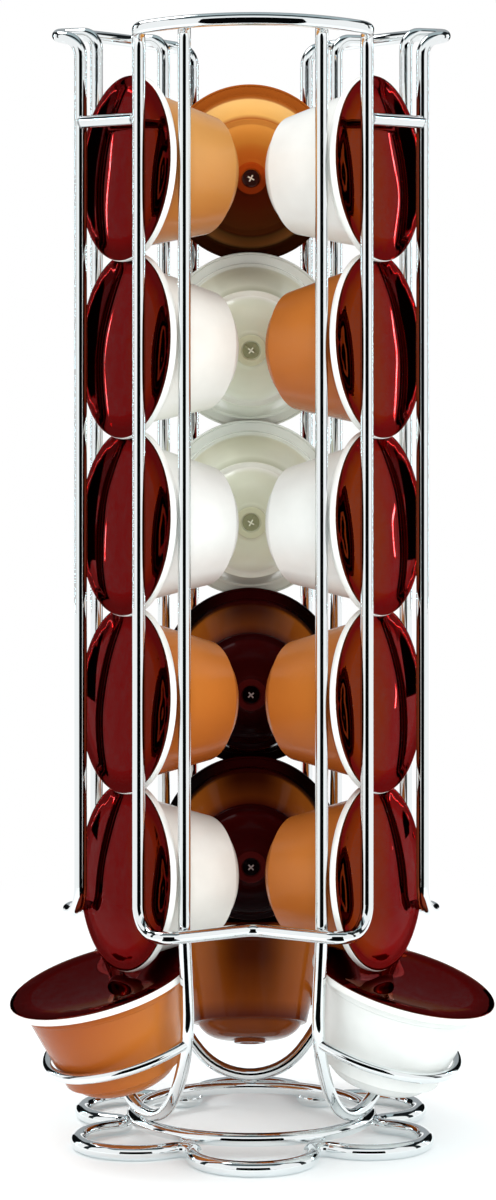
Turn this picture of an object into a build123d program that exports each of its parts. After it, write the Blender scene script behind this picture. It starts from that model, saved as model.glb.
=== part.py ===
from build123d import *
from math import asin, atan2, cos, hypot, radians, sin, sqrt, tan
import os

# Coffee capsule dispenser: a welded wire tower with three columns of six capsules, in millimetres.
# The origin is on the tower's axis at the height of the surface it stands on, +Z is up and the
# front panel faces -Y. Each panel or column is modelled facing -Y and turned to its azimuth.
# There "half width" runs along X, "reach" is the distance from the axis and "height" is Z.

# Panels and columns take turns round the axis
panel_names = ["front", "right", "left"]
column_names = ["right", "back", "left"]
panel_to_column = 180 / len(panel_names)
panel_azimuths = {name: 2 * index * panel_to_column for index, name in enumerate(panel_names)}
column_azimuths = {name: (2 * index + 1) * panel_to_column for index, name in enumerate(column_names)}

# Driving dimensions: first the wires' diameters
frame_wire = 3.7
link_wire = 3.6
hoop_wire = 3.0
ring_wire = 3.9
foot_wire = 4.5
weld_bite = 0.1

# Panel loop
loop_half_width = 32.3
loop_reach = 38.8
loop_bottom_height = 65.2
loop_apex_reach = 34.0
loop_apex_bend = 5.0
loop_nose_half_width = 25.0
loop_nose_bend = 4.5
loop_corner_bend = 8.0
bend_room_share = 0.98
bow_radius = 56.4
bow_side = 0.82
bow_height = 322.8
bow_slope = 11.0
bow_corner_bend = 4.5
bow_rise_bend = 5.5

# Cradle wire under each column
cradle_half_width = 26.1
column_slot = 9.9
cradle_top_bend = 4.5
cradle_bottom_bend = 20.0
cradle_spring_height = 46.0
lean_bend = 30.0

# Base ring and petal foot
ring_reach = 34.6
ring_rise = 3.4
petal_reach = 55.3
petal_count = 6
petal_valley_bend = 4.0
foot_flat = 0.1

# Top link bars and catch hoops
link_height = 295.6
hoop_height = 34.1
hoop_slope = 21.0

# Capsule
rim_diameter = 54.0
rim_thickness = 1.9
ring_cover = 1.0
ring_lip = 0.7
foil_thickness = 0.3
foil_edge_margin = 0.3
foil_flat_width = 2.5
foil_dome = 2.4
foil_dish = 2.0
cup_wall = 1.0
cup_band_depth = 4.4
cup_shoulder = 0.9
cup_base_diameter = 34.6
cup_base_depth = 27.2
cup_ledge = 1.4
cup_dome_rise = 5.0
cup_length = 33.2
nub_diameter = 9.6
nub_bore = 5.8
nub_bore_depth = 1.0
cross_width = 0.7

# Where the capsules sit
upright_count = 5
lowest_height = 78.2
stack_pitch = 50.95
capsule_lean = 4.0
stack_clearance = 0.2
guide_clearance = 0.6
bottom_height = 49.2
bottom_tilt = 17.0
rest_clearance = 0.2


def outward(angle, length):
    """A step of this length in the direction that a panel or column at this angle faces."""
    return Vector(length * sin(radians(angle)), -length * cos(radians(angle)), 0)


def turned(shape, azimuth):
    return Rot(0, 0, azimuth) * shape


def mirrored_point(point):
    return Vector(-point.X, point.Y, point.Z)


def tangent_length(before, corner, after, radius):
    turn = radians((corner - before).get_angle(after - corner))
    return radius * tan(turn / 2)


def bend(before, corner, after, radius):
    """The arc of this radius that rounds a corner of a wire's route."""
    reach = tangent_length(before, corner, after, radius)
    back = (before - corner).normalized()
    ahead = (after - corner).normalized()
    start = corner + back * reach
    end = corner + ahead * reach
    bisector = (back + ahead).normalized()
    to_center = hypot(radius, reach)
    middle = corner + bisector * (to_center - radius)
    return ThreePointArc(start, middle, end)


def wire_along(edges, diameter):
    path = Wire(edges)
    section = Plane(origin=path @ 0, z_dir=path % 0) * Circle(diameter / 2)
    return sweep(section, path=path)


def with_mirror(half):
    """One solid from half a wire that ends square to the middle plane, and its mirror image."""
    return half + mirror(half, about=Plane.YZ)


# The places that the wires share: a column's rims run in the slot between its cradle and the uprights
upright_in_column = Vector(-loop_half_width, -loop_reach, 0).rotate(Axis.Z, panel_to_column)
cradle_reach = -upright_in_column.Y - column_slot
cradle_in_panel = Vector(cradle_half_width, -cradle_reach, 0).rotate(Axis.Z, -panel_to_column)
cradle_panel_half_width = -cradle_in_panel.X
cradle_panel_reach = -cradle_in_panel.Y
foot_height = foot_wire / 2 - foot_flat
ring_height = foot_height + ring_rise
ring_to_foot = (ring_wire + foot_wire) / 2 - weld_bite
valley_reach = ring_reach + sqrt(ring_to_foot**2 - ring_rise**2)
cradle_bottom_height = ring_height + (ring_wire + frame_wire) / 2 - weld_bite


# Panel loop
def loop_bottom():
    """Edges of the bottom run from the middle of the V to the end of the upright's bend."""
    apex = Vector(0, -loop_apex_reach, loop_bottom_height)
    to_cradle = hypot(cradle_panel_half_width, cradle_panel_reach - loop_apex_reach)
    touch = frame_wire - weld_bite
    leg_angle = atan2(cradle_panel_reach - loop_apex_reach, cradle_panel_half_width)
    leg_angle += asin(touch / to_cradle)
    nose_reach = loop_apex_reach + loop_nose_half_width * tan(leg_angle)
    nose = Vector(loop_nose_half_width, -nose_reach, loop_bottom_height)
    corner = Vector(loop_half_width, -loop_reach, loop_bottom_height)
    top = Vector(loop_half_width, -loop_reach, bow_height)
    middle_bend = bend(mirrored_point(nose), apex, nose, loop_apex_bend).trim(0.5, 1)
    nose_bend = bend(apex, nose, corner, loop_nose_bend)
    room = (corner - nose).length - tangent_length(apex, nose, corner, loop_nose_bend)
    corner_bend = bend(nose, corner, top, min(loop_corner_bend, bend_room_share * room))
    return [
        middle_bend,
        Line(middle_bend @ 1, nose_bend @ 0),
        nose_bend,
        Line(nose_bend @ 1, corner_bend @ 0),
        corner_bend,
    ]


def bow_plane():
    """The sloped plane of the top bow: its y is measured outward from the uprights."""
    middle_y = bow_shape()[2]
    rise = middle_y * sin(radians(bow_slope))
    outward_up = Vector(0, -cos(radians(bow_slope)), sin(radians(bow_slope)))
    return Plane(
        origin=Vector(0, -loop_reach, bow_height - rise),
        x_dir=Vector(1, 0, 0),
        z_dir=Vector(1, 0, 0).cross(outward_up),
    )


def bow_shape():
    """Start of the bow's corner bend, centre of its circle and its middle, in the sloped plane."""
    turn = radians(90 - bow_slope)
    corner_y = bow_rise_bend * tan(turn / 2) + bow_side
    inner = bow_radius - bow_corner_bend
    center_y = corner_y - sqrt(inner**2 - (loop_half_width - bow_corner_bend) ** 2)
    return corner_y, center_y, center_y + bow_radius


def loop_top():
    """Edges from the upright's top bend to the middle of the bow."""
    plane = bow_plane()
    fillet_y, center_y, middle_y = bow_shape()
    fillet_x = loop_half_width - bow_corner_bend
    on_line = Vector(loop_half_width, fillet_y)
    away = Vector(fillet_x, fillet_y - center_y).normalized()
    on_circle = Vector(0, center_y) + away * bow_radius
    fillet_center = Vector(fillet_x, fillet_y)
    halfway = fillet_center + (Vector(1, 0) + away).normalized() * bow_corner_bend
    half_angle = atan2(on_circle.X, on_circle.Y - center_y) / 2
    bow_halfway = Vector(bow_radius * sin(half_angle), center_y + bow_radius * cos(half_angle))

    def place(point):
        return plane.from_local_coords(point)

    upright_bottom = Vector(loop_half_width, -loop_reach, loop_bottom_height)
    upright_top = place(Vector(loop_half_width, 0))
    rise_bend = bend(upright_bottom, upright_top, place(on_line), bow_rise_bend)
    corner_bend = ThreePointArc(place(on_line), place(halfway), place(on_circle))
    bow = ThreePointArc(place(on_circle), place(bow_halfway), place(Vector(0, middle_y)))
    return [rise_bend, Line(rise_bend @ 1, place(on_line)), corner_bend, bow]


def panel_loop():
    bottom = loop_bottom()
    top = loop_top()
    upright = Line(bottom[-1] @ 1, top[0] @ 0)
    return with_mirror(wire_along([*bottom, upright, *top], frame_wire))


# Cradle wire: modelled in its column, with its tops bent towards the panels beside it
def lean_angle():
    """Below the panel loops the cradle wire leans inward to stand on the base ring."""
    return atan2(cradle_reach - ring_reach, loop_bottom_height - cradle_bottom_height)


def cradle_side_rise():
    """Distance along the leaning plane from the bottom bend's centre to the side bend's."""
    bottom_center = cradle_bottom_height + cradle_bottom_bend * cos(lean_angle())
    return (cradle_spring_height - bottom_center) / cos(lean_angle())


def cradle_side_bend():
    """Radius of the gentle curve between a straight leg and the tighter bottom bend."""
    top = cradle_half_width**2 + cradle_side_rise() ** 2 - cradle_bottom_bend**2
    return top / (2 * (cradle_half_width - cradle_bottom_bend))


def cradle_point(half_width, height):
    """A point of the leaning plane that the lower part of the cradle wire lies in."""
    reach = cradle_reach - (loop_bottom_height - height) * tan(lean_angle())
    return Vector(half_width, -reach, height)


def cradle_half_width_at(height):
    """Half the gap between the legs' centrelines, on their curved stretch."""
    radius = cradle_side_bend()
    below = (cradle_spring_height - height) / cos(lean_angle())
    return cradle_half_width - radius + sqrt(radius**2 - below**2)


def cradle_wire():
    along = cos(lean_angle())
    side_radius = cradle_side_bend()
    bottom_center = cradle_bottom_height + cradle_bottom_bend * along
    swing = atan2(side_radius - cradle_half_width, cradle_side_rise())

    def on_bottom_bend(angle):
        height = bottom_center - cradle_bottom_bend * cos(angle) * along
        return cradle_point(cradle_bottom_bend * sin(angle), height)

    side_center = cradle_half_width - side_radius

    def on_side_bend(angle):
        height = cradle_spring_height - side_radius * cos(angle) * along
        return cradle_point(side_center + side_radius * sin(angle), height)

    level = radians(90)
    bottom_bend = ThreePointArc(on_bottom_bend(0), on_bottom_bend(swing / 2), on_bottom_bend(swing))
    side_middle = (swing + level) / 2
    side_bend = ThreePointArc(on_side_bend(swing), on_side_bend(side_middle), on_side_bend(level))
    side = side_bend @ 1
    knee = Vector(cradle_half_width, -cradle_reach, loop_bottom_height)

    run_height = bow_height_at(cradle_panel_half_width)
    top = Vector(cradle_half_width, -cradle_reach, run_height)
    run_length = bow_reach_at(cradle_panel_half_width) - cradle_panel_reach
    run_end = top + outward(panel_to_column, run_length - frame_wire / 4)
    knee_bend = bend(side, knee, top, lean_bend)
    top_bend = bend(knee, top, run_end, cradle_top_bend)
    return with_mirror(
        wire_along(
            [
                bottom_bend,
                side_bend,
                Line(side, knee_bend @ 0),
                knee_bend,
                Line(knee_bend @ 1, top_bend @ 0),
                top_bend,
                Line(top_bend @ 1, run_end),
            ],
            frame_wire,
        )
    )


def bow_point_at(half_width):
    """The point of the bow's centreline that lies this far across the panel."""
    center_y = bow_shape()[1]
    local = Vector(half_width, center_y + sqrt(bow_radius**2 - half_width**2))
    return bow_plane().from_local_coords(local)


def bow_reach_at(half_width):
    return -bow_point_at(half_width).Y


def bow_height_at(half_width):
    return bow_point_at(half_width).Z


# Top link bar, straight between the uprights of two panel loops
def top_link():
    span = 2 * abs(upright_in_column.X) - frame_wire / 2
    bar = Rot(0, 90, 0) * Cylinder(link_wire / 2, span)
    return Pos(0, upright_in_column.Y, link_height) * bar


# Catch hoop: an arc from one leg of the cradle to the other that slopes down outward
def hoop_reach():
    """How far the hoop's front stands out along its slope, to clear the bottom capsule's wall."""
    slope = radians(hoop_slope)
    along = Vector(cos(slope), -sin(slope))
    start = Vector(-cradle_point(0, hoop_height).Y, hoop_height)
    base, mouth = bottom_wall()
    wall = (mouth - base).normalized()
    normal = Vector(wall.Y, -wall.X)
    away = hoop_wire / 2 + rest_clearance
    return ((base - start).dot(normal) + away) / along.dot(normal)


def catch_hoop():
    slope = radians(hoop_slope)
    reach = hoop_reach()
    half_width = cradle_half_width_at(hoop_height)
    setback = (reach**2 - half_width**2) / (2 * reach)
    radius = reach - setback
    outward_down = Vector(0, -cos(slope), -sin(slope))
    plane = Plane(
        origin=cradle_point(0, hoop_height),
        x_dir=Vector(1, 0, 0),
        z_dir=Vector(1, 0, 0).cross(outward_down),
    )
    half_sweep = atan2(half_width, -setback) / 2
    halfway = Vector(radius * sin(half_sweep), setback + radius * cos(half_sweep))
    arc = ThreePointArc(
        plane.from_local_coords(Vector(0, reach)),
        plane.from_local_coords(halfway),
        plane.from_local_coords(Vector(half_width, 0)),
    )
    return with_mirror(wire_along([arc], hoop_wire))


# Base ring and petal foot
def base_ring():
    """The ring, turned so that its seam lies clear of every weld."""
    return Pos(0, 0, ring_height) * Rot(0, 0, 180 / petal_count) * Torus(ring_reach, ring_wire / 2)


def petal_radius(half_step):
    """Radius of a petal that is tangent to the tight bends in the valleys beside it."""
    valley_center = valley_reach + petal_valley_bend
    spread = 2 * valley_center * cos(half_step)
    top = petal_reach**2 + valley_center**2 - spread * petal_reach - petal_valley_bend**2
    return top / (2 * petal_reach - spread + 2 * petal_valley_bend)


def petal_foot():
    """One loop, swept span by span from the tip of a petal round a valley to the next tip."""
    step = 360 / petal_count
    half_step = radians(step / 2)
    radius = petal_radius(half_step)
    level = Vector(0, 0, foot_height)
    petal_middle = outward(0, petal_reach - radius) + level
    valley_middle = outward(step / 2, valley_reach + petal_valley_bend) + level
    valley = outward(step / 2, valley_reach) + level
    away = (valley_middle - petal_middle).normalized()
    tip = outward(0, petal_reach) + level
    shoulder = petal_middle + (away + outward(0, 1)).normalized() * radius
    joint = petal_middle + away * radius

    def across_valley(point):
        return mirrored_point(point).rotate(Axis.Z, step)

    span = wire_along(
        [
            ThreePointArc(tip, shoulder, joint),
            ThreePointArc(joint, valley, across_valley(joint)),
            ThreePointArc(across_valley(joint), across_valley(shoulder), across_valley(tip)),
        ],
        foot_wire,
    )
    loop = span
    for index in range(1, petal_count):
        loop += turned(span, index * step)
    ground = Pos(0, 0, -foot_wire / 2) * Box(3 * petal_reach, 3 * petal_reach, foot_wire)
    return loop - ground


# Capsule, in its own frame: +Z points out of the lid and the rim's front face is at zero
rim_radius = rim_diameter / 2
cup_band_radius = stack_pitch - rim_radius - stack_clearance
cup_mouth_radius = cup_band_radius - cup_shoulder
cup_base_radius = cup_base_diameter / 2
ledge_radius = cup_base_radius - cup_ledge
foil_radius = rim_radius - foil_edge_margin
dome_radius = foil_radius - foil_flat_width
dish_radius = cup_band_radius - cup_wall


def revolved(edges):
    return revolve(Plane.XZ * make_face(edges), axis=Axis.Z)


def cup_end_arc(inset):
    """The domed end between the ledge and the nub, moved inward by the wall."""
    start = Vector(ledge_radius - inset, inset - cup_base_depth)
    end = Vector(nub_diameter / 2, inset - cup_base_depth - cup_dome_rise)
    middle = (start + end) / 2 + Vector(cup_ledge, -cup_ledge)
    return ThreePointArc(start, middle, end)


def cup():
    end_arc = cup_end_arc(0)
    inner_arc = cup_end_arc(cup_wall)
    nub_radius = nub_diameter / 2
    outside = [
        (0, -cup_length),
        (nub_radius, -cup_length),
        tuple(end_arc @ 1)[:2],
    ]
    wall = [
        tuple(end_arc @ 0)[:2],
        (cup_base_radius, -cup_base_depth),
        (cup_mouth_radius, -cup_band_depth),
        (cup_band_radius, -cup_band_depth),
        (cup_band_radius, 0),
        (cup_band_radius - cup_wall, 0),
        (cup_mouth_radius - cup_wall, -cup_band_depth),
        (cup_base_radius - cup_wall, cup_wall - cup_base_depth),
        tuple(inner_arc @ 0)[:2],
    ]
    floor = [
        tuple(inner_arc @ 1)[:2],
        (0, inner_arc.position_at(1).Y),
        (0, -cup_length),
    ]
    edges = [Polyline(*outside), end_arc, Polyline(*wall), inner_arc, Polyline(*floor)]
    body = revolved(edges)
    bore = Pos(0, 0, -cup_length + nub_bore_depth / 2) * Cylinder(nub_bore / 2, nub_bore_depth)
    bar = Box(nub_bore, cross_width, nub_bore_depth)
    cross = Pos(0, 0, -cup_length + nub_bore_depth / 2) * (bar + Rot(0, 0, 90) * bar)
    return body - bore + cross


def lid(rise, radius):
    """Rim ring and foil. Within radius the foil stands out by rise, or is dished by a rise below 0."""
    ring = revolved(
        [
            Polyline(
                (cup_band_radius, 0),
                (rim_radius, 0),
                (rim_radius, -rim_thickness),
                (rim_radius - ring_lip, -rim_thickness),
                (rim_radius - ring_lip, -ring_cover),
                (cup_band_radius, -ring_cover),
                (cup_band_radius, 0),
            )
        ]
    )
    sphere_radius = (radius**2 + rise**2) / (2 * abs(rise))
    half_span = radius / 2
    half_rise = sqrt(sphere_radius**2 - half_span**2) - (sphere_radius - abs(rise))
    half_rise *= rise / abs(rise)
    under = ThreePointArc((0, rise), (half_span, half_rise), (radius, 0))
    over = ThreePointArc(
        (radius, foil_thickness),
        (half_span, half_rise + foil_thickness),
        (0, rise + foil_thickness),
    )
    foil = revolved(
        [
            under,
            Polyline(
                (radius, 0),
                (foil_radius, 0),
                (foil_radius, foil_thickness),
                (radius, foil_thickness),
            ),
            over,
            Line((0, rise + foil_thickness), (0, rise)),
        ]
    )
    return Compound([*ring.solids(), *foil.solids()])


# Where a capsule's rim stands in its column
def upright_plane(level):
    lean = radians(capsule_lean)
    contact_shift = sqrt(rim_radius**2 - cradle_half_width**2) * sin(lean)
    back_reach = cradle_reach + frame_wire / 2 + contact_shift + guide_clearance
    reach = back_reach + rim_thickness * cos(lean)
    height = lowest_height + (upright_count - level) * stack_pitch
    return Plane(
        origin=Vector(0, -reach, height),
        x_dir=Vector(1, 0, 0),
        z_dir=Vector(0, -cos(lean), sin(lean)),
    )


def bottom_reach():
    """The bottom capsule's rim rests with its back edge against the two legs of the cradle."""
    tilt = radians(bottom_tilt)
    span = rim_radius + frame_wire / 2 + guide_clearance
    setback = sqrt(span**2 - cradle_half_width**2) * cos(tilt)
    edge_height = bottom_height + setback * tan(tilt) - rim_thickness * cos(tilt)
    return setback + rim_thickness * sin(tilt) - cradle_point(0, edge_height).Y


def bottom_plane():
    tilt = radians(bottom_tilt)
    return Plane(
        origin=Vector(0, -bottom_reach(), bottom_height),
        x_dir=Vector(1, 0, 0),
        z_dir=Vector(0, -sin(tilt), cos(tilt)),
    )


def bottom_wall():
    """Base and mouth end of the bottom capsule's outermost wall line, as reach and height."""
    tilt = radians(bottom_tilt)
    center = Vector(bottom_reach(), bottom_height)
    down = Vector(-sin(tilt), -cos(tilt))
    out = Vector(cos(tilt), -sin(tilt))
    base = center + down * cup_base_depth + out * cup_base_radius
    mouth = center + down * cup_band_depth + out * cup_mouth_radius
    return base, mouth


# Assemble: welded wires meet face to face, each trimmed by the one it is welded to
nodes = {}
for name, azimuth in panel_azimuths.items():
    nodes[name + "_panel_loop"] = turned(panel_loop(), azimuth)
nodes["petal_foot"] = petal_foot()
nodes["base_ring"] = base_ring() - nodes["petal_foot"]

loops = [nodes[name + "_panel_loop"] for name in panel_azimuths]
for name, azimuth in column_azimuths.items():
    cradle = turned(cradle_wire(), azimuth) - nodes["base_ring"]
    link = turned(top_link(), azimuth)
    for loop in loops:
        cradle -= loop
        link -= loop
    nodes[name + "_cradle_wire"] = cradle
    nodes[name + "_top_link"] = link
    nodes[name + "_catch_hoop"] = turned(catch_hoop(), azimuth) - cradle

cup_shape = cup()
domed_lid = lid(foil_dome, dome_radius)
dished_lid = lid(-foil_dish, dish_radius)
for name, azimuth in column_azimuths.items():
    for level in range(1, upright_count + 1):
        place = upright_plane(level)
        nodes[f"{name}_capsule_{level}_cup"] = turned(place * cup_shape, azimuth)
        nodes[f"{name}_capsule_{level}_lid"] = turned(place * domed_lid, azimuth)
    last = upright_count + 1
    nodes[f"{name}_capsule_{last}_cup"] = turned(bottom_plane() * cup_shape, azimuth)
    nodes[f"{name}_capsule_{last}_lid"] = turned(bottom_plane() * dished_lid, azimuth)

os.makedirs("parts", exist_ok=True)
for name, shape in nodes.items():
    export_step(shape, f"parts/{name}.step")
    print(name, len(shape.solids()), round(shape.volume, 1))
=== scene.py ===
import itertools
import math
import random
import bmesh
import bpy
from mathutils import Matrix, Vector, noise


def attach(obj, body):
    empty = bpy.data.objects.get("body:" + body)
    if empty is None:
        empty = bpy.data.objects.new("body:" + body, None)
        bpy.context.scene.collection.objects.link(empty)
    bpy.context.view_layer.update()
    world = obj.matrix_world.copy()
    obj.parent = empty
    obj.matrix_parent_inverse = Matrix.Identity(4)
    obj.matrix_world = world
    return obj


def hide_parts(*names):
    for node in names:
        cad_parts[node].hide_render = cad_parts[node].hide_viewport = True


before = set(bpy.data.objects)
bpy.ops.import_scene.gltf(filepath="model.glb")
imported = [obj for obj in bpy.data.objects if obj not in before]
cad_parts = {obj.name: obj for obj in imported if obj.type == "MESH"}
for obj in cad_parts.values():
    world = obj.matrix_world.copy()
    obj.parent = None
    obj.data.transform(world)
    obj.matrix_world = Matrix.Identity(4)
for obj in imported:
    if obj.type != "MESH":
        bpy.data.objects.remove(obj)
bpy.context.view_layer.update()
print("frame loaded:", len(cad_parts), "nodes")

mm = 0.001

# Where the columns and panels stand: turns about the tower's axis, 0 faces the viewer
tower = {
    "columns": {"left": -60, "right": 60, "back": 180},
    "panels": {"front": 0, "right": 120, "left": -120},
    "uprightCount": 5,
    "capsuleLean": 4.0,
    "bottomTilt": 17.0,
}

# A capsule's sizes in mm, from its rim's front face: heights run back towards the nub
capsule = {
    "rim": 27.0, "rimThickness": 1.9, "cover": 1.0, "lip": 0.7,
    "band": 23.75, "bandDepth": 4.4, "shoulder": 0.9,
    "base": 17.3, "baseDepth": 27.2, "ledge": 1.4, "domeRise": 5.0,
    "length": 33.2, "nub": 4.8, "bore": 2.9, "boreDepth": 1.0, "boreTaper": 0.25,
    "ribSpan": 1.6,         # the ribs' length, as a share of the bore's radius
    "ribWidth": 0.7, "ribLift": 0.3,
    "gate": 2.1, "gateWidth": 0.4, "gateHeight": 0.2, "gateLift": 0.75,
    "boreShade": 0.35,      # how far inside the bore's edge its shaded face begins
    "frontGap": 0.05,       # between the cup's front and the rim's front face
    "frontStep": 1.0, "shoulderDrop": 0.25, "crownSteps": 12,
    "cupRounding": 0.35, "boreRounding": 0.6, "rimRounding": 0.3,
    "frontEase": 0.15, "backEase": 0.12,
    "foilEdge": 26.7, "foil": 0.3, "flatWidth": 2.5, "dome": 2.4, "dish": 2.0,
    "sealRows": (0.8, 1.6), "foilRoll": 0.25, "foilDrop": 0.12, "foilEnd": 0.02,
    "steps": 112,           # faces round the axis
}

# The foil's creases at its seal and its broad waves, in mm: both are noise, so they differ by lid
foilWaves = {
    "rows": 24, "creaseReach": 2.2, "creaseCount": 7, "creaseGain": 0.2, "creaseLimit": 0.12,
    "waveLength": 16, "waveDepth": 0.3,
}


def turned(degrees):
    return Matrix.Rotation(math.radians(degrees), 4, "Z")


def outward(degrees, reach, height=0.0):
    return turned(degrees) @ Vector((0, -reach, height))


# Colour and material helpers
def hexColour(text):
    channels = [int(text[i:i + 2], 16) / 255 for i in (1, 3, 5)]
    return [c / 12.92 if c <= 0.04045 else ((c + 0.055) / 1.055) ** 2.4 for c in channels] + [1]


def addNode(material, kind, settings=None, links=None):
    tree = material.node_tree
    node = tree.nodes.new(kind)
    for key, value in (settings or {}).items():
        if key in node.inputs:
            node.inputs[key].default_value = value
        else:
            setattr(node, key, value)
    for key, source in (links or {}).items():
        tree.links.new(source, node.inputs[key])
    return node


def newMaterial(name):
    material = bpy.data.materials.new(name)
    material.use_nodes = True
    shader = material.node_tree.nodes["Principled BSDF"]
    return material, shader


def link(material, source, shader, socket):
    material.node_tree.links.new(source, shader.inputs[socket])


# Camera: level, at the height of the tower's upper part, with the frame slid down
camera = {
    "distance": 1.1144,
    "height": 0.257,
    "turn": -0.65,          # degrees the tower stands turned from square on
    "lens": 114.0,
    "slideRight": -0.0028,
    "slideUp": -0.2875,
}


def placeCamera():
    data = bpy.data.cameras.new("studioCamera")
    data.sensor_width = 36
    data.lens = camera["lens"]
    data.shift_x = camera["slideRight"]
    data.shift_y = camera["slideUp"]
    data.clip_start = 0.05
    data.clip_end = 50
    eye = bpy.data.objects.new("studioCamera", data)
    eye.location = outward(camera["turn"], camera["distance"], camera["height"])
    eye.rotation_euler = (math.radians(90), 0, math.radians(camera["turn"]))
    bpy.context.scene.collection.objects.link(eye)
    bpy.context.scene.camera = eye


placeCamera()
print("camera placed")


# Materials
def brightChromePlate():
    # Drawn steel wire, bent, welded and bright-chromed: a cold mirror with a faint ripple.
    # The ripple of real drawn wire is finer: it is drawn at 6 mm so that it shows
    material, shader = newMaterial("brightChromePlate")
    shader.inputs["Base Color"].default_value = hexColour("#EDF1F2")
    shader.inputs["Metallic"].default_value = 1.0
    place = addNode(material, "ShaderNodeTexCoord")
    ripple = addNode(material, "ShaderNodeTexNoise", {"Scale": 1 / (6 * mm), "Detail": 2.0},
                     {"Vector": place.outputs["Object"]})
    specks = addNode(material, "ShaderNodeTexNoise", {"Scale": 1 / (0.8 * mm), "Detail": 3.0},
                     {"Vector": place.outputs["Object"]})
    gloss = addNode(material, "ShaderNodeMapRange",
                    {"From Min": 0.35, "From Max": 0.7, "To Min": 0.02, "To Max": 0.05},
                    {"Value": specks.outputs["Fac"]})
    link(material, gloss.outputs["Result"], shader, "Roughness")
    bump = addNode(material, "ShaderNodeBump", {"Strength": 0.08, "Distance": 0.15 * mm},
                   {"Height": ripple.outputs["Fac"]})
    link(material, bump.outputs["Normal"], shader, "Normal")
    return material


def weldMetal():
    # Resistance-weld spill under the same plating: rounder and a little rougher
    material, shader = newMaterial("platedWeldBead")
    shader.inputs["Base Color"].default_value = hexColour("#D9DEE0")
    shader.inputs["Metallic"].default_value = 1.0
    place = addNode(material, "ShaderNodeTexCoord")
    lumps = addNode(material, "ShaderNodeTexNoise", {"Scale": 1 / (0.9 * mm), "Detail": 3.0},
                    {"Vector": place.outputs["Object"]})
    gloss = addNode(material, "ShaderNodeMapRange", {"To Min": 0.06, "To Max": 0.2},
                    {"Value": lumps.outputs["Fac"]})
    link(material, gloss.outputs["Result"], shader, "Roughness")
    bump = addNode(material, "ShaderNodeBump", {"Strength": 0.35, "Distance": 0.2 * mm},
                   {"Height": lumps.outputs["Fac"]})
    link(material, bump.outputs["Normal"], shader, "Normal")
    return material


def colourAndShadeBands(material, depth, bands):
    # Colours, painted shade and painted highlights by height behind a capsule's rim, in mm
    ramp = addNode(material, "ShaderNodeValToRGB", links={"Fac": depth.outputs["Result"]})
    stops = ramp.color_ramp.elements
    for index, (height, tone) in enumerate(bands):
        stop = stops[index] if index < len(stops) else stops.new(height / capsule["length"])
        stop.position = height / capsule["length"]
        stop.color = hexColour(tone)
    return ramp.outputs["Color"]


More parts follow.
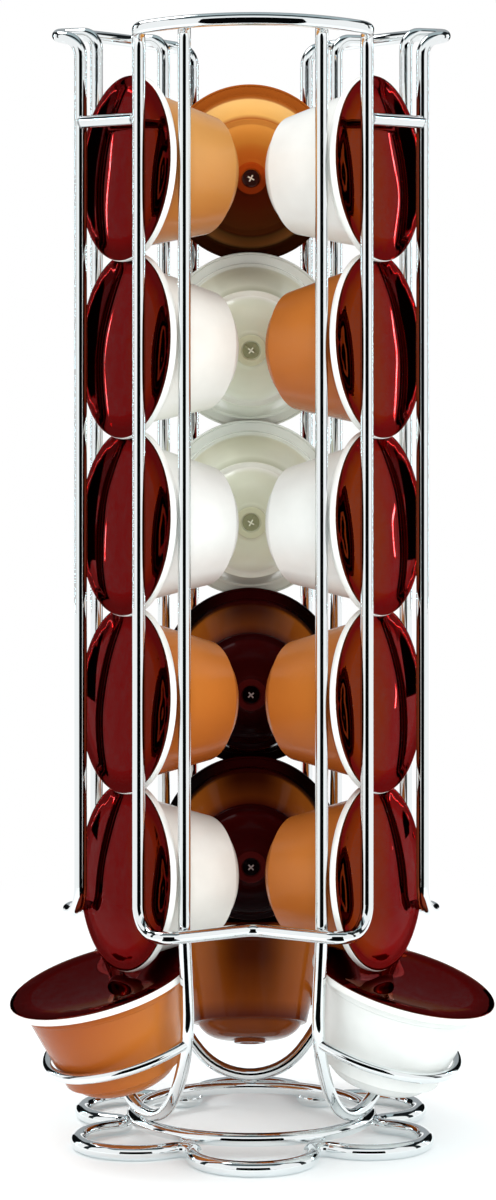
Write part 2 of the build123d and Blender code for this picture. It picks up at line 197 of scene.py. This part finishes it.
def mouldedPolypropylene(name, bands, lowerShadeBands=None, shadeLine=0.0, blend=(5, 8), middleShade=None, gloss=0.24, shine=0.5):
    # Injection-moulded PP: glossy skin, slight cloudiness.
    # The bands are heights behind the rim, in mm, each with its colour; on the back cups they also carry
    # painted shade and painted highlights.
    # Real skin has a finer grain than the 1.6 mm drawn here
    material, shader = newMaterial(name)
    place = addNode(material, "ShaderNodeTexCoord")
    axes = addNode(material, "ShaderNodeSeparateXYZ", links={"Vector": place.outputs["Object"]})
    cloud = addNode(material, "ShaderNodeTexNoise", {"Scale": 1 / (14 * mm), "Detail": 4.0},
                    {"Vector": place.outputs["Object"]})
    depth = addNode(material, "ShaderNodeMapRange", {"From Min": 0.0, "From Max": -capsule["length"] * mm},
                    {"Value": axes.outputs["Z"]})
    tint = addNode(material, "ShaderNodeHueSaturation")
    material.node_tree.links.new(colourAndShadeBands(material, depth, bands), tint.inputs["Color"])
    tone = addNode(material, "ShaderNodeMapRange",
                   {"From Min": 0.3, "From Max": 0.75, "To Min": 1.03, "To Max": 0.93},
                   {"Value": cloud.outputs["Fac"]})
    material.node_tree.links.new(tone.outputs["Result"], tint.inputs["Value"])
    colour = tint.outputs["Color"]
    if middleShade:
        # Painted shade: the middle of the cup across its width is darkened, most towards the rim and less
        # towards the nub
        # The painted shade's colour, and where it starts and ends across the cup, in mm
        tone, inner, outer = middleShade
        side = addNode(material, "ShaderNodeMath", {"operation": "ABSOLUTE"}, {0: axes.outputs["X"]})
        middle = addNode(material, "ShaderNodeMapRange",
                         {"From Min": inner * mm, "From Max": outer * mm, "To Min": 0.9, "To Max": 0.0,
                          "interpolation_type": "SMOOTHSTEP"},
                         {"Value": side.outputs["Value"]})
        fading = addNode(material, "ShaderNodeMapRange",
                         {"From Min": 0.3, "From Max": 0.85, "To Min": 1.0, "To Max": 0.4},
                         {"Value": depth.outputs["Result"]})
        share = addNode(material, "ShaderNodeMath", {"operation": "MULTIPLY"},
                        {0: middle.outputs["Result"], 1: fading.outputs["Result"]})
        deep = addNode(material, "ShaderNodeMix", {"data_type": "RGBA"})
        material.node_tree.links.new(share.outputs["Value"], deep.inputs[0])
        material.node_tree.links.new(colour, deep.inputs[6])
        deep.inputs[7].default_value = hexColour(tone)
        colour = deep.outputs[2]
    if lowerShadeBands:
        # Painted shade: the lower part of the cup is darkened below a soft, uneven edge
        wobble = addNode(material, "ShaderNodeMath", {"operation": "MULTIPLY_ADD"})
        material.node_tree.links.new(cloud.outputs["Fac"], wobble.inputs[0])
        wobble.inputs[1].default_value = 7 * mm
        material.node_tree.links.new(axes.outputs["Y"], wobble.inputs[2])
        level = addNode(material, "ShaderNodeMapRange",
                        {"From Min": (shadeLine - blend[0]) * mm, "From Max": (shadeLine + blend[1]) * mm,
                         "To Min": 0.94, "To Max": 0.0, "interpolation_type": "SMOOTHSTEP"},
                        {"Value": wobble.outputs["Value"]})
        shadedBelow = addNode(material, "ShaderNodeMix", {"data_type": "RGBA"})
        material.node_tree.links.new(level.outputs["Result"], shadedBelow.inputs[0])
        material.node_tree.links.new(colour, shadedBelow.inputs[6])
        material.node_tree.links.new(colourAndShadeBands(material, depth, lowerShadeBands), shadedBelow.inputs[7])
        colour = shadedBelow.outputs[2]
    link(material, colour, shader, "Base Color")
    shader.inputs["Roughness"].default_value = gloss
    shader.inputs["Specular IOR Level"].default_value = shine
    shader.inputs["IOR"].default_value = 1.49
    skin = addNode(material, "ShaderNodeTexNoise", {"Scale": 1 / (1.6 * mm), "Detail": 2.0},
                   {"Vector": place.outputs["Object"]})
    bump = addNode(material, "ShaderNodeBump", {"Strength": 0.05, "Distance": 0.1 * mm},
                   {"Height": skin.outputs["Fac"]})
    link(material, bump.outputs["Normal"], shader, "Normal")
    return material


def lacqueredFoil(name, face, edge):
    # Aluminium foil under tinted lacquer, heat-sealed: mirror-like, drawn into fine creases at the seal
    material, shader = newMaterial(name)
    place = addNode(material, "ShaderNodeTexCoord")
    axes = addNode(material, "ShaderNodeSeparateXYZ", links={"Vector": place.outputs["Object"]})
    flat = addNode(material, "ShaderNodeCombineXYZ",
                   links={"X": axes.outputs["X"], "Y": axes.outputs["Y"]})
    radius = addNode(material, "ShaderNodeVectorMath", {"operation": "LENGTH"},
                     {"Vector": flat.outputs["Vector"]})
    seal = addNode(material, "ShaderNodeMapRange",
                   {"From Min": 20.5 * mm, "From Max": 24.5 * mm},
                   {"Value": radius.outputs["Value"]})
    tint = addNode(material, "ShaderNodeMix", {"data_type": "RGBA"})
    material.node_tree.links.new(seal.outputs["Result"], tint.inputs[0])
    tint.inputs[6].default_value = hexColour(face)
    tint.inputs[7].default_value = hexColour(edge)
    link(material, tint.outputs[2], shader, "Base Color")
    shader.inputs["Metallic"].default_value = 1.0
    # The lacquer keeps the grazing reflection red, and its clear skin adds thin white highlights
    shader.inputs["Specular Tint"].default_value = hexColour("#C89688")
    shader.inputs["Coat Weight"].default_value = 0.055
    shader.inputs["Coat Roughness"].default_value = 0.01
    shader.inputs["Coat IOR"].default_value = 1.4
    film = addNode(material, "ShaderNodeTexNoise", {"Scale": 1 / (3 * mm), "Detail": 3.0},
                   {"Vector": place.outputs["Object"]})
    gloss = addNode(material, "ShaderNodeMapRange", {"To Min": 0.02, "To Max": 0.05},
                    {"Value": film.outputs["Fac"]})
    link(material, gloss.outputs["Result"], shader, "Roughness")
    creases = addNode(material, "ShaderNodeTexNoise", {"Scale": 1 / (2.2 * mm), "Detail": 2.0},
                      {"Vector": place.outputs["Object"]})
    lift = addNode(material, "ShaderNodeMath", {"operation": "MULTIPLY"})
    material.node_tree.links.new(creases.outputs["Fac"], lift.inputs[0])
    material.node_tree.links.new(seal.outputs["Result"], lift.inputs[1])
    bump = addNode(material, "ShaderNodeBump", {"Strength": 0.2, "Distance": 0.15 * mm},
                   {"Height": lift.outputs["Value"]})
    link(material, bump.outputs["Normal"], shader, "Normal")
    return material


chrome = brightChromePlate()
weld = weldMetal()
cupMaterials = {
    "white": mouldedPolypropylene("mouldedWhitePolypropylene", [(0, "#F2F5F2"), (33, "#F0F2EF")]),
    "cream": mouldedPolypropylene("mouldedCreamPolypropylene", [(0, "#F4F4EE"), (33, "#F0F0E9")]),
    # On the golden and tan cups the lower shade bands darken the lower part: painted shade
    "golden": mouldedPolypropylene(
        "mouldedGoldenPolypropylene",
        [(0, "#C08040"), (12, "#CF9450"), (33, "#CA8C46")],
        lowerShadeBands=[(0, "#AC5E20"), (33, "#A85A1E")], shadeLine=-10.0, blend=(16, 24), shine=0.3),
    "tan": mouldedPolypropylene(
        "mouldedCaramelPolypropylene",
        [(0, "#B8692A"), (12, "#C67630"), (33, "#C0702C")],
        lowerShadeBands=[(0, "#9C4612"), (33, "#9A4412")], shadeLine=-12.0, blend=(14, 26), shine=0.25),
    # On the back cups the dark bands at the flange and under the ledge are painted shade; the pale lines at
    # the ledge and round the nub are painted highlights
    "smoke": mouldedPolypropylene(
        "mouldedNaturalPolypropylene",
        [(0, "#EDF1EB"), (4.4, "#E0E5DC"), (6, "#CFCDB4"), (22, "#DEE1CE"), (26.6, "#BEC2AA"),
         (27.4, "#F4F6EE"), (29, "#DDE2CE"), (32, "#D8DCC6"), (33.2, "#CACCAC")],
        lowerShadeBands=[(0, "#DADDD2"), (33, "#D2D6C8")], shadeLine=-12.0, gloss=0.18),
    "amber": mouldedPolypropylene(
        "mouldedAmberPolypropylene",
        [(0, "#A4581F"), (4.4, "#964C16"), (6, "#E2B06A"), (22, "#D8A056"), (26.4, "#9A5220"),
         (27.6, "#CC863C"), (31.5, "#BE742C"), (32.5, "#B44E14"), (33.2, "#A84010")],
        lowerShadeBands=[(0, "#160201"), (5, "#0E0101"), (9, "#5A2C10"), (15, "#4A2008"), (24, "#1A0302"),
                (28, "#2A0403"), (32.7, "#340404"), (33.0, "#7A2A0C"), (33.2, "#7A2A0C")],
        shadeLine=3.5, blend=(2, 2), gloss=0.28, shine=0.0),
    "brown": mouldedPolypropylene(
        "mouldedBrownPolypropylene",
        [(0, "#0C0201"), (4.4, "#060000"), (6, "#8A4A14"), (20, "#7E3E0E"), (25.6, "#4A1A08"),
         (26.6, "#060000"), (28, "#300303"), (32, "#280303"), (33.2, "#4A1210")],
        lowerShadeBands=[(0, "#050000"), (24, "#060001"), (28, "#0C0102"), (32.2, "#0C0102"), (33.2, "#3A0E10")],
        shadeLine=-5.0, blend=(3, 9), middleShade=("#300405", 3, 16), gloss=0.12, shine=0.03),
    "rust": mouldedPolypropylene(
        "mouldedRustPolypropylene",
        [(0, "#8C4416"), (5, "#A25618"), (22, "#9C4E14"), (26.6, "#5A1E08"), (28, "#8A4210"),
         (33.2, "#8A4010")],
        middleShade=("#360602", 3, 17), gloss=0.14, shine=0.12),
}
ringMaterial = mouldedPolypropylene("mouldedRimPolypropylene", [(0, "#F6F7F3"), (33, "#F1F2EC")])
# The nub's bore is painted dark as shade on the dark cups, and the mould's gate mark in it is painted pale as
# a highlight
boreShadeMaterials = {
    "amber": mouldedPolypropylene("mouldedBoreShadeAmber", [(0, "#3E0E06"), (33, "#360A04")]),
    "brown": mouldedPolypropylene("mouldedBoreShadeBrown", [(0, "#0A0101"), (33, "#080001")], shine=0.1),
    "rust": mouldedPolypropylene("mouldedBoreShadeRust", [(0, "#3C0C05"), (33, "#340A04")]),
    "smoke": mouldedPolypropylene("mouldedBoreShadeNatural", [(0, "#A2A47C"), (33, "#9A9C76")]),
}
gateHighlightMaterials = {
    "amber": mouldedPolypropylene("mouldedGateHighlightAmber", [(0, "#F2E6D8"), (33, "#EADCCB")]),
    "brown": mouldedPolypropylene("mouldedGateHighlightBrown", [(0, "#A09290"), (33, "#988A88")]),
    "rust": mouldedPolypropylene("mouldedGateHighlightRust", [(0, "#A85A34"), (33, "#A0522E")]),
    "smoke": mouldedPolypropylene("mouldedGateHighlightNatural", [(0, "#EEF0DC"), (33, "#E8EAD4")]),
}
foilMaterials = {
    "left": lacqueredFoil("lacqueredFoilDeepRed", "#6A1C04", "#521206"),
    "right": lacqueredFoil("lacqueredFoilRustRed", "#7C3016", "#64220E"),
    "back": lacqueredFoil("lacqueredFoilRed", "#74240A", "#5E1808"),
}
print("materials made")


# Capsules: a moulded cup, and a lid of rim ring and foil
def rounded(points, radius, steps=4):
    # The outline with each inner corner turned into a small arc
    outline = [Vector(points[0])]
    for before, corner, after in zip(points, points[1:], points[2:]):
        before, corner, after = Vector(before), Vector(corner), Vector(after)
        back, ahead = before - corner, after - corner
        reach = min(radius, back.length * 0.45, ahead.length * 0.45)
        start = corner + back.normalized() * reach
        end = corner + ahead.normalized() * reach
        for step in range(steps + 1):
            t = step / steps
            outline.append(start * (1 - t) ** 2 + corner * 2 * t * (1 - t) + end * t ** 2)
    outline.append(Vector(points[-1]))
    return outline


def turnedMesh(name, outline, steps):
    # Turns an outline of (radius, height) in mm round +Z, closing it where it meets the axis
    shape = bmesh.new()
    rings = []
    for point in outline:
        if point[0] < 1e-6:
            rings.append([shape.verts.new((0, 0, point[1] * mm))])
            continue
        rings.append([
            shape.verts.new((
                point[0] * mm * math.cos(2 * math.pi * i / steps),
                point[0] * mm * math.sin(2 * math.pi * i / steps),
                point[1] * mm,
            ))
            for i in range(steps)
        ])
    for lower, upper in zip(rings, rings[1:]):
        for i in range(steps):
            j = (i + 1) % steps
            corners = [lower[i % len(lower)], lower[j % len(lower)],
                       upper[j % len(upper)], upper[i % len(upper)]]
            face = list(dict.fromkeys(corners))
            if len(face) > 2:
                shape.faces.new(face)
    bmesh.ops.recalc_face_normals(shape, faces=shape.faces)
    for face in shape.faces:
        face.smooth = True
    return shape


def finishMesh(shape, name, material):
    mesh = bpy.data.meshes.new(name)
    shape.to_mesh(mesh)
    shape.free()
    mesh.materials.append(material)
    piece = bpy.data.objects.new(name, mesh)
    bpy.context.scene.collection.objects.link(piece)
    return piece


def domeOfEnd():
    # The cup's closed end between ledge and nub, a shallow crown
    c = capsule
    start = Vector((c["base"] - c["ledge"], -c["baseDepth"]))
    end = Vector((c["nub"], -c["baseDepth"] - c["domeRise"]))
    bulge = Vector((c["ledge"], -c["ledge"]))
    points = []
    for step in range(1, c["crownSteps"]):
        t = step / c["crownSteps"]
        points.append(tuple(start.lerp(end, t) + bulge * 4 * t * (1 - t)))
    return tuple(start), points, tuple(end)


def makeCup(name, colour, crossTurn):
    c = capsule
    start, crown, end = domeOfEnd()
    outline = rounded([
        (c["band"] - c["frontStep"], -c["frontGap"]), (c["band"], -c["frontGap"]), (c["band"], -c["cover"]),
        (c["rim"] - c["lip"], -c["cover"]), (c["rim"] - c["lip"], -c["rimThickness"]),
        (c["band"], -c["rimThickness"]), (c["band"], -c["bandDepth"]),
        (c["band"] - c["shoulder"], -c["bandDepth"] - c["shoulderDrop"]),
        (c["base"], -c["baseDepth"]), start,
    ], c["cupRounding"])
    outline += [Vector(point) for point in crown]
    outline += rounded([
        end, (c["nub"], -c["length"]), (c["bore"], -c["length"]),
        (c["bore"] - c["boreTaper"], c["boreDepth"] - c["length"]), (0, c["boreDepth"] - c["length"]),
    ], c["boreRounding"])
    shape = turnedMesh(name, outline, c["steps"])
    # Faces inside the bore take the bore's material: painted shade
    shaded = (c["bore"] - c["boreShade"]) * mm
    for face in shape.faces:
        middle = face.calc_center_median()
        face.material_index = 1 if Vector((middle.x, middle.y)).length < shaded else 0
    # Ribs cross the bore's floor, and the mould's gate leaves a small raised mark on them:
    # length, width, height, lift off the floor, material; the ribs take the bore's painted shade and the mark
    # a painted highlight
    marks = [
        (c["bore"] * c["ribSpan"], c["ribWidth"], c["boreDepth"] * 0.5, c["ribLift"], 1),
        (c["gate"], c["gateWidth"], c["gateHeight"], c["gateLift"], 2),
    ]
    for length, width, height, lift, slot in marks:
        for quarter in (0, 90):
            made = bmesh.ops.create_cube(shape, size=1.0)
            size = Matrix.Diagonal((length * mm, width * mm, height * mm, 1))
            middle = (c["boreDepth"] - lift - height / 2 - c["length"]) * mm
            spin = Matrix.Rotation(math.radians(crossTurn + quarter), 4, "Z")
            matrix = Matrix.Translation((0, 0, middle)) @ spin @ size
            bmesh.ops.transform(shape, matrix=matrix, verts=made["verts"])
            for face in {face for vertex in made["verts"] for face in vertex.link_faces}:
                face.material_index = slot
    cup = finishMesh(shape, name, cupMaterials[colour])
    cup.data.materials.append(boreShadeMaterials.get(colour, cupMaterials[colour]))
    cup.data.materials.append(gateHighlightMaterials.get(colour, cupMaterials[colour]))
    return cup


def makeLid(name, rise, ring, foilMaterial, seed):
    c, w = capsule, foilWaves
    ringOutline = rounded([
        (c["band"], -c["frontGap"]), (c["rim"] - c["frontEase"], 0.0), (c["rim"], -c["rimThickness"] / 2),
        (c["rim"] - c["backEase"], -c["rimThickness"]), (c["rim"] - c["lip"], -c["rimThickness"]),
        (c["rim"] - c["lip"], -c["cover"]),
    ], c["rimRounding"])
    shape = turnedMesh(name, ringOutline, c["steps"])
    ringFaces = len(shape.faces)
    # Foil: domed or dished inside, a flat sealed edge outside, with creases drawn into the seal
    inner = c["foilEdge"] - c["flatWidth"] if rise > 0 else c["band"] - c["frontStep"]
    outline = []
    for step in range(w["rows"] + 1):
        r = inner * step / w["rows"]
        outline.append((r, c["foil"] + rise * (1 - (r / inner) ** 2)))
    outline += [(inner + row, c["foil"]) for row in c["sealRows"]]
    outline += [(c["foilEdge"] - c["foilRoll"], c["foil"]), (c["foilEdge"], c["foil"] - c["foilDrop"])]
    outline += [(c["foilEdge"] - c["foilEnd"], c["foilEnd"])]
    foil = turnedMesh(name, outline, c["steps"])
    for vertex in foil.verts:
        flat = Vector((vertex.co.x, vertex.co.y))
        r = flat.length / mm
        angle = math.atan2(flat.y, flat.x)
        near = max(0.0, 1 - abs(r - inner) / w["creaseReach"])
        count, wave = w["creaseCount"], w["waveLength"] * mm
        crease = noise.noise(Vector((math.cos(angle) * count, math.sin(angle) * count, seed)))
        broad = noise.noise(Vector((vertex.co.x / wave, vertex.co.y / wave, seed + 9)))
        inside = max(0.0, 1 - r / inner)
        fold = min(w["creaseLimit"], w["creaseGain"] * crease)
        vertex.co.z += (near * fold + inside * w["waveDepth"] * broad) * mm
    carrier = bpy.data.meshes.new(name + "Foil")
    foil.to_mesh(carrier)
    foil.free()
    shape.from_mesh(carrier)
    bpy.data.meshes.remove(carrier)
    shape.faces.ensure_lookup_table()
    for face in shape.faces[ringFaces:]:
        face.material_index = 1
    piece = finishMesh(shape, name, ring)
    piece.data.materials.append(foilMaterial)
    return piece


def capsulePlace(node, azimuth, lean):
    # Finds the rim's middle from the cup's own solid, looking along its axis
    turn = turned(azimuth)
    across = (turn @ Vector((1, 0, 0, 0))).xyz
    out = (turn @ Vector((0, -math.cos(lean), math.sin(lean), 0))).xyz
    up = out.cross(across)
    corners = [v.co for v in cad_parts[node].data.vertices]
    spans = []
    for axis in (across, up):
        along = [corner.dot(axis) for corner in corners]
        spans.append((min(along) + max(along)) / 2)
    front = max(corner.dot(out) for corner in corners)
    middle = across * spans[0] + up * spans[1] + out * front
    basis = Matrix((across, up, out)).transposed().to_4x4()
    return Matrix.Translation(middle) @ basis


cupColours = {
    "left": ["golden", "cream", "white", "tan", "cream", "tan"],
    "right": ["white", "tan", "white", "tan", "tan", "white"],
    "back": ["amber", "smoke", "smoke", "brown", "brown", "rust"],
}


def dressCapsules():
    chooser = random.Random(7)
    for column, azimuth in tower["columns"].items():
        for level in range(1, tower["uprightCount"] + 2):
            body = f"{column}_capsule_{level}"
            bottom = level > tower["uprightCount"]
            lean = math.radians(90 - tower["bottomTilt"] if bottom else tower["capsuleLean"])
            place = capsulePlace(body + "_cup", azimuth, lean)
            colour = cupColours[column][level - 1]
            cup = makeCup(f"{body}_cupMoulding", colour, chooser.uniform(20, 70))
            rise = -capsule["dish"] if bottom else capsule["dome"]
            ring = cupMaterials[colour] if column == "back" else ringMaterial
            lid = makeLid(f"{body}_lidFoil", rise, ring, foilMaterials[column], chooser.uniform(0, 50))
            for piece, node in ((cup, "_cup"), (lid, "_lid")):
                piece.matrix_world = place
                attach(piece, body)
                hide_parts(body + node)


dressCapsules()
print("capsules dressed")


# Wires: the frame's own tubes, plated, with the weld beads where they meet. Sizes and places in mm
wires = {
    "cradleHalfWidth": 26.1, "cradleReach": 37.47, "cradleFoot": 7.45, "loopBottom": 65.2,
    "linkHeight": 295.6, "linkReach": 47.37, "linkHalfSpan": 15.8,
    "hoopHalfWidth": 24.54, "hoopReach": 35.88, "hoopHeight": 34.1,
    "ringReach": 34.6, "ringHeight": 5.55, "valleyReach": 36.9, "footHeight": 2.15,
    # How far each weld sits from the middle of the wires it joins
    "loopWeldAside": 0.2, "loopWeldIn": 1.85, "ringWeldOut": 0.2,
    "lumpPitch": 1.7, "lumpDepth": 0.22,
    # Each kind of bead: half sizes, and the way its long side runs
    "hoopBead": ((1.9, 1.5, 1.7), (0, -1, -0.4)),
    "linkBead": ((0.8, 2.0, 2.0), (1, 0, 0)),
    "loopBead": ((1.2, 1.1, 1.8), (0, 0, 1)),
    "cradleBead": ((2.4, 1.5, 0.8), (1, 0, 0)),
    "ringBead": ((2.6, 1.3, 1.5), (1, 0, 0)),
}


def plateWires():
    for name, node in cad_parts.items():
        if name.endswith(("_cup", "_lid")):
            continue
        for index in range(len(node.material_slots)):
            node.material_slots[index].material = chrome
        if not node.material_slots:
            node.data.materials.append(chrome)


def weldBead(name, middle, size, along, seed):
    # A small uneven bead, long in one direction
    shape = bmesh.new()
    bmesh.ops.create_icosphere(shape, subdivisions=3, radius=1.0)
    for vertex in shape.verts:
        lump = noise.noise(vertex.co * wires["lumpPitch"] + Vector((seed, 0, seed))) * wires["lumpDepth"]
        vertex.co *= 1 + lump
    for face in shape.faces:
        face.smooth = True
    piece = finishMesh(shape, name, weld)
    spin = Vector(along).to_track_quat("X", "Z").to_matrix().to_4x4()
    piece.matrix_world = Matrix.Translation(middle) @ spin @ Matrix.Diagonal((*[s * mm for s in size], 1))
    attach(piece, "frame")


def weldWires():
    w = wires
    seeds = itertools.count(1)

    def bead(name, kind, azimuth, middle):
        turn = turned(azimuth)
        size, along = w[kind]
        weldBead(name, turn @ (Vector(middle) * mm), size, turn.to_3x3() @ Vector(along), next(seeds))

    for column, azimuth in tower["columns"].items():
        for side, sign in (("a", -1), ("b", 1)):
            spots = {
                "hoop": (sign * w["hoopHalfWidth"], -w["hoopReach"], w["hoopHeight"]),
                "link": (sign * w["linkHalfSpan"], -w["linkReach"], w["linkHeight"]),
                "loop": (sign * (w["cradleHalfWidth"] + w["loopWeldAside"]),
                         -w["cradleReach"] + w["loopWeldIn"], w["loopBottom"]),
            }
            for spot, middle in spots.items():
                bead(f"{column}_{spot}_weld_{side}", spot + "Bead", azimuth, middle)
        bead(f"{column}_cradle_weld", "cradleBead", azimuth, (0, -w["ringReach"], w["cradleFoot"]))
    # The ring meets the foot at the valleys between its six petals
    reach = -(w["ringReach"] + w["valleyReach"]) / 2 - w["ringWeldOut"]
    height = (w["ringHeight"] + w["footHeight"]) / 2
    for index in range(6):
        bead(f"ring_weld_{index + 1}", "ringBead", 30 + 60 * index, (0, reach, height))


plateWires()
weldWires()
print("wires plated and welded")


# Studio: pale floor, white surround, soft lamps, and the cards that the metal mirrors
studio = {
    "floorSize": 9.0,
    "shadowInner": 0.15,    # metres from the tower: inside this the floor is lit as it is
    "shadowOuter": 0.45,    # and beyond this it is seen as white paper
    "floorLift": 0.1,
    "ambient": 0.98,
    "cardDistance": 1.7, "cardAim": 0.16,
    "lampDistance": 1.6, "lampAim": 0.15,
    "lamps": {
        "keyLamp": {"azimuth": -118, "elevation": 58, "power": 8.0, "size": 0.7, "mirrored": True},
        "fillLamp": {"azimuth": 52, "elevation": 24, "power": 6.0, "size": 1.2, "mirrored": False},
        "frontLamp": {"azimuth": 4, "elevation": 18, "power": 6.0, "size": 0.9, "mirrored": False},
    },
    # Cards that only the mirrors see: azimuth, elevation, width, height, tone, strength
    "middleCards": {
        "frontCard": (0, 2, 1.85, 1.5, "#050606", 1.0),
        "overheadCard": (0, 72, 2.6, 0.7, "#15191B", 1.0),
        "ceilingCard": (0, 89, 2.8, 2.8, "#A9B8BC", 1.0),
        "backHighCard": (180, 30, 4.2, 1.7, "#9EA3A6", 1.0),
    },
    # Pairs of cards, one on each side. The strips draw the fine bright lines in the foil
    "sideCards": {
        "sideShadeCard": (95, 0, 0.36, 2.4, "#262C2E", 1.0),
        "sideStrip": (126.5, -1, 0.022, 1.3, "#CFF6FF", 28.0),
        "topStrip": (124, 21, 0.16, 0.02, "#CFF6FF", 22.0),
        "sideDarkCard": (148, 0, 0.9, 2.4, "#0C0E0F", 1.0),
        "sideHighCard": (112, 42, 1.4, 0.9, "#1A1E20", 1.0),
    },
    # Black wedge on the floor in front: its widths at the near and far ends, and how far out they lie
    "floorCard": {
        "nearWidth": 0.14, "farWidth": 1.9, "near": 0.1, "far": 1.75, "above": 0.5 * mm, "tone": "#050606",
    },
}


def plainSheet(name, size, matrix, material):
    shape = bmesh.new()
    bmesh.ops.create_grid(shape, x_segments=1, y_segments=1, size=0.5)
    bmesh.ops.transform(shape, matrix=Matrix.Diagonal((size[0], size[1], 1, 1)), verts=shape.verts)
    sheet = finishMesh(shape, name, material)
    sheet.matrix_world = matrix
    return sheet


def cardMaterial(name, tone, strength):
    material = bpy.data.materials.new(name)
    material.use_nodes = True
    material.node_tree.nodes.clear()
    glow = addNode(material, "ShaderNodeEmission", {"Color": hexColour(tone), "Strength": strength})
    addNode(material, "ShaderNodeOutputMaterial", links={"Surface": glow.outputs["Emission"]})
    return material


def onlyInMirrors(card):
    card.visible_camera = False
    card.visible_diffuse = False
    card.visible_transmission = False
    card.visible_shadow = False


def mirrorCard(name, azimuth, elevation, width, height, tone, strength):
    # A card seen only in reflections, standing round the tower and facing it
    far = studio["cardDistance"]
    rise = math.radians(elevation)
    middle = Vector((0, 0, studio["cardAim"]))
    centre = middle + outward(azimuth, far * math.cos(rise), far * math.sin(rise))
    facing = (middle - centre).to_track_quat("Z", "Y").to_matrix().to_4x4()
    material = cardMaterial(name + "Paper", tone, strength)
    onlyInMirrors(plainSheet(name, (width, height), Matrix.Translation(centre) @ facing, material))


def whenSeen(owner):
    # 1 where the camera looks, straight or by way of metal or glass, and 0 for the light on the object
    rays = addNode(owner, "ShaderNodeLightPath")
    direct = addNode(owner, "ShaderNodeMath", {"operation": "MAXIMUM"},
                     {0: rays.outputs["Is Camera Ray"], 1: rays.outputs["Is Glossy Ray"]})
    return addNode(owner, "ShaderNodeMath", {"operation": "MAXIMUM"},
                   {0: direct.outputs["Value"], 1: rays.outputs["Is Transmission Ray"]}).outputs["Value"]


def paperFloor():
    # White paper that keeps the tower's shadow near it and fades into the white surround
    s = studio
    material, shader = newMaterial("whitePaperFloor")
    shader.inputs["Base Color"].default_value = hexColour("#F2F7F8")
    shader.inputs["Roughness"].default_value = 0.7
    shader.inputs["Specular IOR Level"].default_value = 0.1
    tree = material.node_tree
    seen = whenSeen(material)
    lift = addNode(material, "ShaderNodeMath", {"operation": "MULTIPLY"}, {0: seen})
    lift.inputs[1].default_value = s["floorLift"]
    glow = addNode(material, "ShaderNodeEmission", {"Color": hexColour("#FFFFFF")},
                   {"Strength": lift.outputs["Value"]})
    near = addNode(material, "ShaderNodeAddShader",
                   links={0: shader.outputs["BSDF"], 1: glow.outputs["Emission"]})
    place = addNode(material, "ShaderNodeTexCoord")
    away = addNode(material, "ShaderNodeVectorMath", {"operation": "LENGTH"},
                   {"Vector": place.outputs["Object"]})
    fade = addNode(material, "ShaderNodeMapRange",
                   {"From Min": s["shadowInner"], "From Max": s["shadowOuter"],
                    "interpolation_type": "SMOOTHSTEP"},
                   {"Value": away.outputs["Value"]})
    share = addNode(material, "ShaderNodeMath", {"operation": "MULTIPLY"},
                    {0: fade.outputs["Result"], 1: seen})
    white = addNode(material, "ShaderNodeEmission", {"Color": hexColour("#FFFFFF"), "Strength": 1.0})
    both = addNode(material, "ShaderNodeMixShader",
                   links={0: share.outputs["Value"], 1: near.outputs["Shader"], 2: white.outputs["Emission"]})
    tree.links.new(both.outputs["Shader"], tree.nodes["Material Output"].inputs["Surface"])
    plainSheet("paperFloor", (s["floorSize"], s["floorSize"]), Matrix.Identity(4), material)


def whiteWorld():
    world = bpy.data.worlds.new("studioWorld")
    bpy.context.scene.world = world
    world.use_nodes = True
    world.node_tree.nodes.clear()
    strength = addNode(world, "ShaderNodeMapRange", {"To Min": studio["ambient"], "To Max": 1.0},
                       {"Value": whenSeen(world)})
    glow = addNode(world, "ShaderNodeBackground", {"Color": hexColour("#FFFFFF")},
                   {"Strength": strength.outputs["Result"]})
    addNode(world, "ShaderNodeOutputWorld", links={"Surface": glow.outputs["Background"]})


def softLamp(name, azimuth, elevation, power, size, mirrored):
    data = bpy.data.lights.new(name, "AREA")
    data.energy = power
    data.size = size
    lamp = bpy.data.objects.new(name, data)
    far, rise = studio["lampDistance"], math.radians(elevation)
    middle = Vector((0, 0, studio["lampAim"]))
    lamp.location = middle + outward(azimuth, far * math.cos(rise), far * math.sin(rise))
    lamp.rotation_euler = (middle - lamp.location).to_track_quat("-Z", "Y").to_euler()
    lamp.visible_glossy = mirrored
    bpy.context.scene.collection.objects.link(lamp)


def setStudio():
    paperFloor()
    whiteWorld()
    for name, lamp in studio["lamps"].items():
        softLamp(name, **lamp)
    for name, card in studio["middleCards"].items():
        mirrorCard(name, *card)
    for name, (azimuth, *rest) in studio["sideCards"].items():
        mirrorCard(name + "Left", -azimuth, *rest)
        mirrorCard(name + "Right", azimuth, *rest)
    f = studio["floorCard"]
    paper = cardMaterial("floorCardPaper", f["tone"], 1.0)
    place = Matrix.Translation(outward(0, (f["near"] + f["far"]) / 2, f["above"]))
    wedge = plainSheet("floorCard", (f["farWidth"], f["far"] - f["near"]), place, paper)
    for corner in wedge.data.vertices:
        if corner.co.y > 0:
            corner.co.x *= f["nearWidth"] / f["farWidth"]
    onlyInMirrors(wedge)


setStudio()
print("studio set")

view = bpy.context.scene.view_settings
view.view_transform = "Standard"
bpy.context.view_layer.update()
